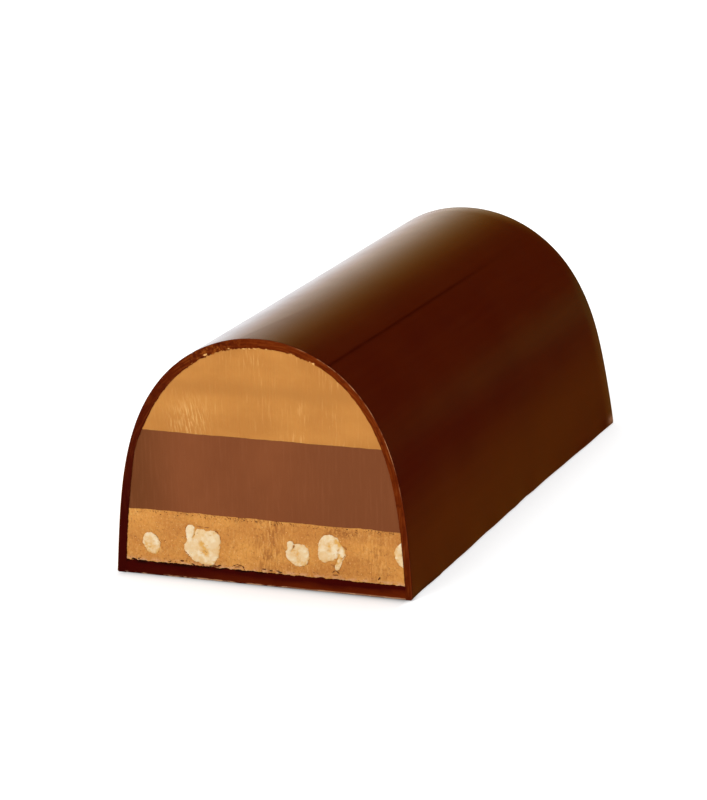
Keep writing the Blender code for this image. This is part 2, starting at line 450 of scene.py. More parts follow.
def edgeWithHighlight():                    # the rounded edge where the wall was cut: its own dark colour with a painted highlight
    look = edgeHighlightLook
    material, shader, place = newMaterial("edgeWithHighlight", 0.5, Specular_IOR_Level=0.03)
    wall, x, z = wallCoordinates(place)
    patch = noiseField(stretched(wall, 0.22, 1.0, 0.0), 1.0, 4.0, 0.7, 5.0)
    # painted highlight in patches, growing towards the right and the top, and golden on the far left
    toward = clamped(x / 24 + 0.1, 0.05, 0.9) * clamped((z - 22) / 18, 0.05, 1.0)
    colour = mixColour(rampField(patch, (0.45, 0.0), (0.60, 1.0)) * toward, look["plain"], look["pale"])
    colour = mixColour(clamped((0.0 - x - 34) / 5, high=0.75), colour, look["left"])
    toSocket(colour, shader.inputs["Base Color"])
    bumpInto(shader, noiseField(place, 4.0, 3.0, 0.6, 8.0), 0.4, 0.05)
    return material


baseLook = {
    "deep": (0.040, 0.0010, 0.0002),
    "foot": (0.115, 0.0130, 0.0003),           # redder towards the floor
    "burnt": (0.008, 0.0010, 0.0003),          # black line under the filling, on the left
    "burntZ": 3.35,
    "edge": (0.60, 0.33, 0.18),                # painted highlight along the lower edge
    "edgeZ": 0.22,
}


def baseChocolate():
    look = baseLook
    material, shader, place = newMaterial("baseChocolate", 0.5, Specular_IOR_Level=0.02)
    x, _, z = axes(place)
    lift = noiseField(stretched(place, 0.12, 1.0, 0.5), 1.0, 3.0, 0.6, 5.0)
    lower = rampField(z / 4 + (lift - 0.5) * 0.7, (0.15, 1.0), (0.60, 0.0))
    colour = mixColour(lower * (0.6 + x / 65), look["deep"], look["foot"])
    patchNoise = noiseField(stretched(place, 0.30, 1.0, 1.2), 1.0, 3.0, 0.55, 9.0)
    burnt = bell(z - look["burntZ"], 0.5) * rampField(patchNoise, (0.38, 0.0), (0.52, 0.85))
    colour = mixColour(burnt * clamped((6 - x) / 8), colour, look["burnt"])
    # painted highlight: a pale band along the lower edge, in patches on the left and a steady line on the
    # right
    band = bell(z - look["edgeZ"] - (lift - 0.5) * 0.5, 0.17)
    right = clamped((x - 4) / 12, high=0.55)
    pale = calc("MAXIMUM", rampField(patchNoise, (0.46, 0.0), (0.56, 0.95)), right) * band
    colour = mixColour(pale, colour, look["edge"])
    toSocket(colour, shader.inputs["Base Color"])
    drag = noiseField(stretched(place, 0.5, 1.0, 2.4), 1.0, 5.0, 0.6, 6.0)
    bumpInto(shader, drag + pale * 0.5, 0.5, 0.10)
    return material


def pralinePaste(name, look, roughness):
    material, shader, place = newMaterial(name, roughness, Specular_IOR_Level=0.18)
    softFlesh(shader, 0.12, (1.0, 0.45, 0.2), 1.2)
    cloud = noiseField(stretched(place, 0.5, 1.0, 1.0), 0.16, 3.0, 0.5, 1.0)
    colour = mixColour(rampField(cloud, (0.38, 0.0), (0.66, 1.0)), look["dark"], look["base"])
    streak = noiseField(stretched(place, *look["streakSize"]), 1.0, 5.0, 0.65, 9.0)
    where = rampField(noiseField(place, 0.11, 2.0, 0.5, 15.0), (0.46, 0.15), (0.60, 1.0))
    colour = mixColour(rampField(streak, (0.54, 0.0), (0.76, 0.8)) * where, colour, look["pale"])
    colour = mixColour(rampField(streak, (0.25, 0.55), (0.46, 0.0)) * where, colour, look["dark"])
    speck = noiseField(place, 1.3, 5.0, 0.75, 12.0)
    grain = look["grain"]
    colour = mixColour(rampField(speck, (0.54, 0.0), (0.70, grain)), colour, look["speck"])
    colour = mixColour(rampField(speck, (0.30, grain * 0.3), (0.44, 0.0)), colour, look["pale"])
    return material, shader, place, colour, streak + (1 - speck) * grain * 1.5


smoothLook = {
    "base": (0.488, 0.202, 0.0380),
    "dark": (0.428, 0.168, 0.029),
    "pale": (0.65, 0.335, 0.098),
    "speck": (0.415, 0.158, 0.027),
    "streakSize": (1.5, 1.0, 0.16),
    "grain": 0.32,
    "band": (0.405, 0.160, 0.028),             # darker level band
    "bandZ": 50.5,
    "scraped": (0.69, 0.385, 0.125),           # marks of the knife low on the left
    "scrapedPlace": (-18.8, 42),
}


def smoothPraline():
    look = smoothLook
    material, shader, place, colour, height = pralinePaste("smoothPraline", look, 0.5)
    x, _, z = axes(place)
    wavy = noiseField(place, 0.10, 2.0, 0.5, 21.0) - 0.5
    colour = mixColour(bell(z - look["bandZ"] + wavy * 5, 2.0) * 0.65, colour, look["band"])
    scrape = noiseField(combine((x + z * 0.2) * 2.0, 0.0, z * 0.30), 1.0, 4.0, 0.65, 27.0)
    middleX, middleZ = look["scrapedPlace"]
    scraped = rampField(scrape, (0.48, 0.0), (0.62, 0.8)) * bell(x - middleX, 4.5) * bell(z - middleZ, 4.5)
    colour = mixColour(scraped, colour, look["scraped"])
    toSocket(colour, shader.inputs["Base Color"])
    bumpInto(shader, height, 0.35, 0.07)
    return material


nutPralineLook = {
    "base": (0.595, 0.262, 0.052),
    "dark": (0.45, 0.172, 0.031),
    "pale": (0.72, 0.41, 0.13),
    "speck": (0.27, 0.088, 0.014),
    "streakSize": (1.1, 1.0, 0.55),
    "grain": 0.95,
    "smear": (0.62, 0.33, 0.17),               # along the base plate
    "smearZ": 3.7,
    "weaveDark": (0.40, 0.150, 0.026),
    "weavePale": (0.66, 0.33, 0.088),
    "torn": (0.29, 0.094, 0.015),              # torn stretches
    # painted highlights beside the torn stretches
    "tornHighlight": (0.70, 0.38, 0.12),
    "tornX": (2.5, 30.0),
    "singed": (0.25, 0.078, 0.013),            # brown patch under the ganache
    "singedPlace": (22.0, 15.6),
}


def nutPraline():
    look = nutPralineLook
    material, shader, place, colour, height = pralinePaste("nutPraline", look, 0.55)
    x, _, z = axes(place)
    smear = noiseField(stretched(place, 0.5, 1.0, 1.3), 1.0, 4.0, 0.6, 25.0)
    foot = bell(z - look["smearZ"], 0.7) * rampField(smear, (0.42, 0.0), (0.60, 0.8))
    colour = mixColour(foot, colour, look["smear"])
    weave = noiseField(stretched(place, 1.8, 1.0, 1.3), 1.0, 3.0, 0.7, 33.0)
    colour = mixColour(rampField(weave, (0.53, 0.0), (0.68, 0.5)), colour, look["weaveDark"])
    colour = mixColour(rampField(weave, (0.32, 0.45), (0.46, 0.0)), colour, look["weavePale"])
    crack = noiseField(stretched(place, 1.5, 1.0, 0.30), 1.0, 4.0, 0.68, 28.0)
    firstX, secondX = look["tornX"]
    where = bell(x - firstX, 4.5) + bell(x - secondX, 4.0) * 0.6
    torn = rampField(crack, (0.50, 0.0), (0.60, 0.80)) * where
    colour = mixColour(torn, colour, look["torn"])
    middleX, middleZ = look["singedPlace"]
    singed = bell(x - middleX, 4.0) * bell(z - middleZ, 1.1)
    colour = mixColour(rampField(weave, (0.40, 0.0), (0.55, 0.9)) * singed, colour, look["singed"])
    # painted highlights beside the torn stretches
    colour = mixColour(rampField(crack, (0.36, 0.6), (0.46, 0.0)) * where, colour, look["tornHighlight"])
    toSocket(colour, shader.inputs["Base Color"])
    bumpInto(shader, height - torn * 0.6, 0.55, 0.10)
    return material


ganacheLook = {
    "tones": ((0.179, 0.0475, 0.0112), (0.200, 0.0550, 0.0137)),
    "left": (0.128, 0.0335, 0.0048),
    "right": (0.171, 0.0462, 0.0112),
    "streak": (0.238, 0.073, 0.0245),
    "dent": (0.15, 0.0365, 0.0095),
}


def milkGanache():
    look = ganacheLook
    material, shader, place = newMaterial("milkGanache", 0.48, Specular_IOR_Level=0.15)
    cloud = noiseField(place, 0.08, 3.0, 0.5, 2.0)
    colour = mixColour(rampField(cloud, (0.35, 0.0), (0.65, 1.0)), *look["tones"])
    x = axes(place)[0]
    colour = mixColour(clamped((0.0 - x - 22) / 14, high=0.8), colour, look["left"])
    colour = mixColour(clamped((x - 6) / 14), colour, look["right"])
    streak = noiseField(stretched(place, 1.6, 1.0, 0.10), 1.0, 4.0, 0.6, 5.0)
    colour = mixColour(rampField(streak, (0.5, 0.0), (0.8, 0.4)), colour, look["streak"])
    dent = noiseField(place, 1.3, 4.0, 0.65, 31.0)
    colour = mixColour(rampField(dent, (0.58, 0.0), (0.80, 0.35)), colour, look["dent"])
    toSocket(colour, shader.inputs["Base Color"])
    bumpInto(shader, streak + dent, 0.3, 0.06)
    return material


fleshLook = {"tones": ((0.69, 0.495, 0.268), (0.745, 0.612, 0.405)), "tan": (0.63, 0.330, 0.070)}


def hazelnutFlesh():
    material, shader, place = newMaterial("hazelnutFlesh", 0.42, Specular_IOR_Level=0.3)
    softFlesh(shader, 0.15, (1.0, 0.7, 0.4), 0.8)
    cloud = noiseField(place, 0.55, 3.0, 0.55, 3.0)
    colour = mixColour(rampField(cloud, (0.42, 0.0), (0.62, 1.0)), *fleshLook["tones"])
    colour = mixColour(attributeField(place, "tan"), colour, fleshLook["tan"])
    toSocket(colour, shader.inputs["Base Color"])
    bumpInto(shader, noiseField(place, 2.2, 4.0, 0.6, 6.0), 0.4, 0.10)
    return material


def looseCrumb(name, tones, roughness):
    material, shader, place = newMaterial(name, roughness, Specular_IOR_Level=0.10)
    mottle = noiseField(place, 4.0, 2.0, 0.6, 3.0)
    toSocket(mixColour(rampField(mottle, (0.4, 0.0), (0.6, 1.0)), *tones), shader.inputs["Base Color"])
    bumpInto(shader, mottle, 0.3, 0.05)
    return material


moulded = mouldedChocolate()
cut = cutChocolate()
edgeHighlighted = edgeWithHighlight()


# The cast shell: strips of a grid bent to the arch, joined into one closed wall.

shellLook = {
    "columns": 1001,               # around the arch
    "outerRows": 42,
    "edgeRows": 4,
    "cutRows": 8,
    "innerRows": 9,
    "endEdgeRows": 5,
    "endRows": 9,
    "rimRadius": 0.13 * mm,        # rounding of the cut edge
    "endRadius": 1.2 * mm,         # rounding at the moulded end
    "footRounding": 2.2,           # how many times more of it there is at the floor
    "waviness": 0.16 * mm,         # slow unevenness of the moulded face
    "chipDepth": 0.50 * mm,        # bites out of the cut edge, near the crown on the left
    "chipReach": 0.9 * mm,
    "raggedness": 1.50 * mm,       # of the line between wall and filling
    "creaseAngle": math.radians(57.4),
    "creaseLean": 0.32,            # how fast that angle falls along the bar
    "creaseDepth": 0.035 * mm,
    "creaseStep": 0.08 * mm,       # the sunk band above the crease
    "creaseEnd": 130 * mm,         # where it has faded, from the cut
    "creaseFade": 50 * mm,
    "creaseWidth": math.radians(0.6),
    "footWear": 0.55 * mm,         # rounding and wear along the outer bottom edge
    "footWaves": 1.7 * mm,         # how unevenly that edge runs
    "footWaveHeight": 3.5 * mm,
    "knifeMarks": 0.08 * mm,
    "dentDepth": 1.2 * mm,         # of the bruised stretch, also left of the crown
    "bruiseAngle": 1.2,            # where that stretch and the bites are, from the foot
    "seed": 4,
}


shellSizes = {**arch, **shellLook, "nearY": nearY, "endY": endY, "endDraft": endDraft, "endWall": endWall}
columnCrowding = 2.2               # how much finer the columns are towards the floor


def buildShellTree():
    tree, sizes = newSizeTree("castShell", shellSizes)
    seed = sizes["seed"] * 1.0

    def relief(angle, side, x, y, z):      # how far the outer face lies inside the true arch
        place = combine(x, y, z)
        slow = noiseField(place, 28.0, 2.0, 0.5, seed) * sizes["waviness"]
        fromCut = y - sizes["nearY"]
        chips = noiseField(place, 420.0, 3.0, 0.6, seed + 5)
        chips = calc("MAXIMUM", chips - 0.58, 0.0) * 4 * bell(fromCut, sizes["chipReach"])
        chips = chips * bell(angle - sizes["bruiseAngle"], 0.22) * (1 - side) * sizes["chipDepth"]
        away = angle - sizes["creaseAngle"] + sizes["creaseLean"] * (fromCut - 0.06)
        above = calc("MAXIMUM", away, 0.0)
        sunk = (1 - calc("EXPONENT", above / -0.038)) * bell(above, 0.21) * sizes["creaseStep"]
        crease = bell(away, sizes["creaseWidth"]) * sizes["creaseDepth"] + sunk
        crease = crease * clamped((sizes["creaseEnd"] - fromCut) / sizes["creaseFade"]) * (1 + side) / 2
        edge = noiseField(combine(side * 0.1, y, 0.0), 75.0, 3.0, 0.6, seed + 9)
        wear = sizes["footWear"] * (edge + 0.2)
        lowness = calc("MAXIMUM", 1 - z / wear, 0.0)
        waves = noiseField(combine(side * 0.1, y, 0.0), 58.0, 3.0, 0.55, seed + 14)
        waves = calc("MAXIMUM", waves - 0.40, 0.0) * sizes["footWaves"]
        waves = waves * calc("EXPONENT", z / sizes["footWaveHeight"] * -1)
        return slow + chips + crease + waves + wear * lowness * lowness

    def strip(rows, material, shape):
        grid = addNode(tree, "GeometryNodeMeshGrid", {"Size X": 1.0, "Size Y": 1.0,
                                                      "Vertices X": sizes["columns"], "Vertices Y": rows})
        flatX, flatY, _ = axes(ownPosition(tree))
        across, share = flatX * 2, flatY + 0.5
        side = calc("SIGN", across)
        height = 1 - calc("ABSOLUTE", across)
        creaseAt = calc("POWER", sizes["creaseAngle"] / halfPi, 1 / columnCrowding)
        height = height - 0.8 * (height - creaseAt) * bell(height - creaseAt, 0.03)
        angle = halfPi * calc("POWER", height, columnCrowding)
        x, y, z = shape(angle, side, share)
        moved = addNode(tree, "GeometryNodeSetPosition", {"Geometry": grid.outputs[0],
                                                          "Position": combine(x, y, z)})
        marked = addNode(tree, "GeometryNodeStoreNamedAttribute",
                         {"Geometry": moved.outputs[0], "Name": "depth", "Value": share}, data_type="FLOAT")
        painted = addNode(tree, "GeometryNodeSetMaterial", {"Geometry": marked.outputs[0]})
        painted.inputs["Material"].default_value = material
        return painted.outputs[0]

    def endPlane(angle):
        return sizes["endY"] - sizes["endDraft"] * archPoint(angle, sizes)[1]

    def endRounding(angle):
        z = archPoint(angle, sizes)[1]
        return sizes["endRadius"] * (1 + sizes["footRounding"] * calc("EXPONENT", z / -0.006))

    def outerAt(angle, side, extra, y):
        x, z = archPoint(angle, sizes)
        sunkX, sunkZ = insetPoint(angle, side, extra + relief(angle, side, x * side, y, z), sizes)
        reach = (y - sizes["flareStart"]) / (endPlane(angle) - sizes["flareStart"])
        reach = calc("POWER", clamped(reach), 1.2)
        flare = reach * calc("EXPONENT", z / sizes["flareHeight"] * -1) * sizes["footFlare"]
        return sunkX + flare * side, sunkZ

    def outerFace(angle, side, share):
        start = sizes["nearY"] + sizes["rimRadius"]
        span = endPlane(angle) - endRounding(angle) - start
        y = start + span * calc("POWER", share, 1.6)
        x, z = outerAt(angle, side, 0.0, y)
        return x, y, z

    def cutEdge(angle, side, share):       # quarter round from the outer face into the cut
        turn = share * halfPi
        x, z = outerAt(angle, side, sizes["rimRadius"] * (1 - calc("COSINE", turn)),
                       sizes["nearY"] + sizes["rimRadius"])
        return x, sizes["nearY"] + sizes["rimRadius"] * (1 - calc("SINE", turn)), z

    def innerInset(angle, side, fade):
        x, z = archPoint(angle, sizes)
        place = combine(x * side, 0.0, z)
        ragged = noiseField(place, 520.0, 4.0, 0.7, seed + 13) - 0.5
        coarse = calc("MAXIMUM", noiseField(place, 120.0, 1.0, 0.5, seed + 17) * 2.4 - 0.6, 0.1)
        upper = 0.25 + calc("POWER", calc("SINE", angle), 4.0)
        torn = ragged * coarse * upper * fade * sizes["raggedness"] * 2
        return wallThickness(angle, side, sizes) + calc("MAXIMUM", torn, -0.00028)

    def cutFace(angle, side, share):
        x0, z0 = outerAt(angle, side, sizes["rimRadius"], sizes["nearY"] + sizes["rimRadius"])
        x1, z1 = insetPoint(angle, side, innerInset(angle, side, 1.0), sizes)
        x = x0 + (x1 - x0) * share
        z = z0 + (z1 - z0) * share
        place = combine(x, 0.0, z)
        marks = noiseField(place, 900.0, 4.0, 0.65, seed + 21) * sizes["knifeMarks"]
        dents = calc("MAXIMUM", noiseField(place, 520.0, 3.0, 0.6, seed + 23) - 0.5, 0.0)
        dents = dents * (0.15 + bell(angle - sizes["bruiseAngle"], 0.25) * (1 - side)) * sizes["dentDepth"]
        middle = calc("SINE", share * math.pi)
        return x, sizes["nearY"] + (marks + dents) * middle, z

    def innerFace(angle, side, share):
        fade = calc("MAXIMUM", 1 - share * 20, 0.0)
        x, z = insetPoint(angle, side, innerInset(angle, side, fade), sizes)
        return x, sizes["nearY"] + (endPlane(angle) - sizes["endWall"] - sizes["nearY"]) * share, z

    def innerEnd(angle, side, share):
        x, z = insetPoint(angle, side, innerInset(angle, side, 0.0), sizes)
        closer = 1 - share
        y = sizes["endY"] - sizes["endDraft"] * archPoint(angle, sizes)[1] * closer - sizes["endWall"]
        return x * closer, y, z * closer

    def endEdge(angle, side, share):
        turn = share * halfPi
        y = endPlane(angle) - endRounding(angle)
        x, z = outerAt(angle, side, endRounding(angle) * (1 - calc("COSINE", turn)), y)
        return x, y + endRounding(angle) * calc("SINE", turn), z

    def endFace(angle, side, share):
        x, z = outerAt(angle, side, endRounding(angle), endPlane(angle) - endRounding(angle))
        closer = 1 - share
        y = sizes["endY"] - sizes["endDraft"] * archPoint(angle, sizes)[1] * closer
        dish = noiseField(combine(x * closer, 0.0, z * closer), 30.0, 2.0, 0.5, seed + 25)
        dish = dish * calc("SINE", share * math.pi) * sizes["waviness"]
        return x * closer, y - dish, z * closer

    strips = [strip(sizes["outerRows"], moulded, outerFace), strip(sizes["edgeRows"], edgeHighlighted, cutEdge),
              strip(sizes["cutRows"], cut, cutFace), strip(sizes["innerRows"], cut, innerFace),
              strip(2, cut, innerEnd), strip(sizes["endEdgeRows"], moulded, endEdge),
              strip(sizes["endRows"], moulded, endFace)]
    joined = addNode(tree, "GeometryNodeJoinGeometry")
    for made in reversed(strips):
        tree.links.new(made, joined.inputs[0])
    merged = addNode(tree, "GeometryNodeMergeByDistance",
                     {"Geometry": joined.outputs[0], "Distance": 0.004 * mm})
    endTree(tree, addNode(tree, "GeometryNodeRealizeInstances", {0: merged.outputs[0]}).outputs[0])
    return tree


def closeBottom(piece, materialIndex):
    body = bmesh.new()
    body.from_mesh(piece.data)
    bmesh.ops.dissolve_degenerate(body, dist=0.002 * mm, edges=body.edges)
    rim = [edge for edge in body.edges if edge.is_boundary]
    made = bmesh.ops.triangle_fill(body, use_beauty=True, use_dissolve=False, edges=rim)
    for face in made["geom"]:
        if isinstance(face, bmesh.types.BMFace):
            face.material_index = materialIndex
    bmesh.ops.recalc_face_normals(body, faces=body.faces)
    left = sum(1 for edge in body.edges if not edge.is_manifold)
    body.to_mesh(piece.data)
    body.free()
    return left


def makeShell():
    shell = meshFromTree("castShell", buildShellTree(), shellSizes)
    print("open edges left on the shell:", closeBottom(shell, 1))
    finishPiece(shell, ["chocolate_shell"], sharpDegrees=35)


makeShell()


# The filling: each layer is a block whose front is a fine grid with the marks of the knife.

hazelnuts = {                      # lobes: x, z, half width, half height in mm, lean in degrees
    "hazelnut_1": {
        "depth": 2.6,
        "lobes": [(-30.2, 8.5, 2.3, 2.95, 22)],
        "creases": [(-31.5, 8.0, -29.6, 7.5)],
        "notches": [],
    },
    "hazelnut_2": {
        "depth": 4.6,
        "lobes": [
            (-15.6, 8.4, 4.2, 4.3, 0), (-19.1, 7.9, 2.2, 2.3, 25), (-13.6, 10.8, 2.4, 2.6, 0),
            (-19.2, 11.7, 1.6, 2.8, 6), (-17.3, 6.5, 2.4, 2.0, 0), (-17.4, 11.2, 1.5, 1.7, 0),
            (-16.3, 11.6, 1.9, 1.8, 0), (-14.1, 6.3, 1.8, 2.3, 0),
        ],
        "creases": [(-16.3, 9.4, -15.6, 8.3), (-15.6, 8.3, -14.9, 6.6)],
        "notches": [(-17.9, 13.6, -18.5, 11.6), (-18.5, 11.6, -18.8, 10.9)],
    },
    "hazelnut_3": {
        "depth": 3.0,
        "lobes": [
            (9.9, 8.9, 2.9, 3.0, 0), (7.7, 8.9, 1.45, 1.7, 20), (7.5, 11.0, 0.75, 1.7, 6),
            (8.0, 11.6, 0.6, 1.1, 0),
        ],
        "creases": [(9.2, 9.2, 9.9, 8.2), (9.9, 8.2, 10.1, 7.5)],
        "notches": [(8.6, 11.4, 8.0, 9.8)],
    },
    "hazelnut_4": {
        "depth": 3.6,
        "lobes": [
            (18.2, 11.6, 3.1, 3.5, 10), (20.7, 10.6, 1.7, 2.2, 20), (20.4, 7.7, 0.95, 2.0, -14),
            (16.7, 9.4, 1.7, 1.7, 0),
        ],
        "creases": [(18.0, 12.8, 18.5, 11.0), (20.0, 13.6, 20.8, 12.4)],
        "notches": [(20.7, 10.0, 19.5, 7.6)],
    },
    "hazelnut_5": {
        "depth": 3.0,
        "lobes": [(38.0, 11.5, 2.8, 3.3, 0)],
        "creases": [(35.2, 13.0, 35.1, 9.8)],
        "notches": [],
    },
}


def innerHalfWidth(side, overlap):
    angles = np.linspace(0.0, halfPi, 1500)
    x, z = insetPoint(angles, side, wallThickness(angles, side, arch) - overlap, arch)
    return lambda heights: np.interp(heights, z, np.abs(x)), z[-1]


wallOverlap = 0.3 * mm             # how far the filling reaches under the ragged edge of the wall
rightHalf, crownZ = innerHalfWidth(1.0, wallOverlap)
leftHalf, _ = innerHalfWidth(-1.0, wallOverlap)


def wavyLine(x, amount, seed):     # a level line that isn't quite level
    heights = [noise.fractal((value / mm * 0.09, seed, 0.0), 0.6, 2.2, 4) for value in x.flat]
    return np.array(heights).reshape(x.shape) * amount


def fieldNoise(x, z, scaleX, scaleZ, seed, octaves=3):
    points = zip((x / mm * scaleX).flat, (z / mm * scaleZ).flat)
    values = [noise.fractal((a, b, seed), 0.7, 2.1, octaves) for a, b in points]
    return np.array(values).reshape(x.shape)


def blockFromFront(name, x, y, z):
    rows, columns = x.shape
    points = np.stack([x, y, z], axis=-1).reshape(-1, 3)
    corner = np.arange(rows * columns).reshape(rows, columns)
    quads = np.stack([corner[:-1, :-1], corner[:-1, 1:], corner[1:, 1:], corner[1:, :-1]], axis=-1)
    front = bpy.data.meshes.new(name + "Front")
    front.from_pydata(points.tolist(), [], quads.reshape(-1, 4).tolist())
    body = bmesh.new()
    body.from_mesh(front)
    bpy.data.meshes.remove(front)
    bmesh.ops.remove_doubles(body, verts=body.verts, dist=0.01 * mm)
    rim = [edge for edge in body.edges if edge.is_boundary]
    drawn = bmesh.ops.extrude_edge_only(body, edges=rim)["geom"]
    for vertex in drawn:
        if isinstance(vertex, bmesh.types.BMVert):
            vertex.co.y = endY - endWall - endDraft * vertex.co.z
    backRim = [edge for edge in drawn if isinstance(edge, bmesh.types.BMEdge) and edge.is_boundary]
    bmesh.ops.triangle_fill(body, use_beauty=True, use_dissolve=False, edges=backRim)
    bmesh.ops.recalc_face_normals(body, faces=body.faces)
    return newObject(name, meshFromBody(name, body))


def layerGrid(bottom, top, bottomLine, topLine, columns, rows):
    share = np.linspace(0.0, 1.0, rows)[:, None]
    across = np.linspace(-1.0, 1.0, columns)[None, :]
    meanZ = bottom + (top - bottom) * share
    if topLine is None:
        meanZ = bottom + (top - bottom) * np.sin(share * halfPi)
    x = np.where(across > 0, rightHalf(meanZ), leftHalf(meanZ)) * across
    z = meanZ + np.zeros_like(x)
    z = z + bottomLine(x) * (1 - share)
    if topLine is not None:
        z = z + topLine(x) * share
    return x, z


def baseLine(x):
    return wavyLine(x * 6, 0.25 * mm, 31.0) + wavyLine(x, 0.15 * mm, 33.0)


def lowerGanacheLine(x):
    return wavyLine(x, 0.22 * mm, 41.0) + wavyLine(x * 7, 0.05 * mm, 43.0)


def upperGanacheLine(x):
    return wavyLine(x, 0.16 * mm, 51.0)


layers = {
    "pralineTop": {"recess": 0.10 * mm, "columns": 300, "rows": 120, "streak": 0.035 * mm},
    "ganacheLayer": {"recess": 0.13 * mm, "columns": 280, "rows": 90, "streak": 0.018 * mm},
    "pralineNut": {"recess": 0.12 * mm, "columns": 380, "rows": 80, "grain": 0.10 * mm,
                   "moat": 0.10 * mm, "pocket": 0.8 * mm, "tear": 0.25 * mm, "tearX": 1.6},
    "basePlate": {"recess": 0.03 * mm, "columns": 380, "rows": 30, "bevel": 0.20 * mm},
}


def makePralineTop():
    look = layers["pralineTop"]
    x, z = layerGrid(levels["ganacheTop"], crownZ, upperGanacheLine, None, look["columns"], look["rows"])
    drag = fieldNoise(x, z, 2.6, 0.06, 3.0) + 0.5 * fieldNoise(x, z, 0.5, 0.05, 8.0, 2)
    y = nearY + look["recess"] + drag * look["streak"]
    piece = blockFromFront("pralineTop", x, np.maximum(y, nearY), z)
    piece.data.materials.append(smoothPraline())
    finishPiece(piece, ["praline_top"])


def makeGanache():
    look = layers["ganacheLayer"]
    x, z = layerGrid(levels["ganacheBottom"], levels["ganacheTop"], lowerGanacheLine, upperGanacheLine,
                     look["columns"], look["rows"])
    drag = fieldNoise(x, z, 1.8, 0.06, 13.0)
    y = nearY + look["recess"] + drag * look["streak"]
    piece = blockFromFront("ganacheLayer", x, np.maximum(y, nearY), z)
    piece.data.materials.append(milkGanache())
    finishPiece(piece, ["ganache"])


def distanceOutside(x, z):         # in mm, to the nearest nut, less than 0 inside one
    reach = np.full_like(x, 9.0)
    for nut in hazelnuts.values():
        for lobeX, lobeZ, halfWidth, halfHeight, lean in nut["lobes"]:
            turn = math.radians(lean)
            fromX, fromZ = x / mm - lobeX, z / mm - lobeZ
            turnedX = fromX * math.cos(turn) - fromZ * math.sin(turn)
            turnedZ = fromX * math.sin(turn) + fromZ * math.cos(turn)
            share = np.hypot(turnedX / halfWidth, turnedZ / halfHeight)
            reach = np.minimum(reach, (share - 1) * min(halfWidth, halfHeight))
    return reach


def makePralineNut():
    look = layers["pralineNut"]
    x, z = layerGrid(levels["baseTop"], levels["ganacheBottom"], baseLine, lowerGanacheLine,
                     look["columns"], look["rows"])
    grain = fieldNoise(x, z, 1.5, 1.1, 23.0, 4) + 0.6 * fieldNoise(x, z, 0.35, 0.3, 28.0, 2)
    tear = np.clip(fieldNoise(x, z, 1.1, 0.5, 29.0, 4) - 0.05, 0.0, 0.6)
    tear = tear * np.exp(-((x / mm - look["tearX"]) / 4.0) ** 2)
    y = nearY + look["recess"] + grain * look["grain"] + tear * look["tear"]
    outside = distanceOutside(x, z)
    y = y + np.exp(-((outside - 0.1) / 0.3) ** 2) * (0.6 + grain) * look["moat"]
    y = y + np.clip(-outside / 0.4 - 0.8, 0.0, 1.0) * look["pocket"]
    piece = blockFromFront("pralineNut", x, np.maximum(y, nearY), z)
    piece.data.materials.append(nutPraline())
    finishPiece(piece, ["praline_nut"])


def makeBasePlate():
    look = layers["basePlate"]
    x, z = layerGrid(0.0, levels["baseTop"], lambda across: across * 0.0, baseLine,
                     look["columns"], look["rows"])
    wear = look["bevel"] * (1 + 0.4 * fieldNoise(x, z * 0, 0.25, 1.0, 35.0, 3))
    lowness = np.clip(1 - z / np.maximum(wear * 1.6, 0.1 * mm), 0.0, 1.0)
    y = nearY + look["recess"] + wear * lowness ** 2 + 0.03 * mm * fieldNoise(x, z, 1.4, 0.5, 37.0)
    piece = blockFromFront("basePlate", x, np.maximum(y, nearY), z)
    piece.data.materials.append(baseChocolate())
    finishPiece(piece, ["chocolate_base"])


makePralineTop()
makeGanache()
makePralineNut()
makeBasePlate()


# Hazelnuts: lobes melted together, cut flush and creased where the halves of the nut meet.

nutLook = {
    "voxel": 0.16 * mm,
    "recess": 0.02 * mm,           # how far the cut nut lies behind the plane of the cut
    "knobs": 0.30 * mm,            # unevenness of the outline
    "grain": 0.08 * mm,
    "creaseDepth": 0.08 * mm,
    "creaseWidth": 0.70 * mm,
    "notchDepth": 0.30 * mm,
    "notchWidth": 0.26 * mm,
    "wander": 0.7 * mm,            # how far a crease strays from its line
}


def lobeBody(lobes, depth):
    body = bmesh.new()
    for x, z, halfWidth, halfHeight, lean in lobes:
        reach = depth * halfWidth / lobes[0][2]
        place = (Matrix.Translation((x * mm, nearY, z * mm)) @ Matrix.Rotation(math.radians(-lean), 4, "Y")
                 @ Matrix.Diagonal((halfWidth * mm, reach * mm, halfHeight * mm, 1.0)))
        bmesh.ops.create_uvsphere(body, u_segments=40, v_segments=24, radius=1.0, matrix=place)
    return body


def melted(name, mesh, voxel):
    carrier = newObject(name, mesh)
    remesh = carrier.modifiers.new("melt", "REMESH")
    remesh.mode = "VOXEL"
    remesh.voxel_size = voxel
    smooth = carrier.modifiers.new("soften", "SMOOTH")
    smooth.factor = 0.5
    smooth.iterations = 3
    result = evaluatedMesh(carrier)
    bpy.data.objects.remove(carrier)
    return result


def cutFlush(mesh, plane, wallClear):
    body = bmesh.new()
    body.from_mesh(mesh)
    everything = body.verts[:] + body.edges[:] + body.faces[:]
    cutOff = bmesh.ops.bisect_plane(body, geom=everything, plane_co=(0, plane, 0), plane_no=(0, -1, 0),
                                    clear_outer=True)["geom_cut"]
    rim = [edge for edge in cutOff if isinstance(edge, bmesh.types.BMEdge)]
    bmesh.ops.triangle_fill(body, use_beauty=True, edges=rim)
    for vertex in body.verts:
        limit = rightHalf(vertex.co.z) - wallOverlap
        vertex.co.x = min(vertex.co.x, limit - wallClear)
    bmesh.ops.recalc_face_normals(body, faces=body.faces)
    body.to_mesh(mesh)
    body.free()


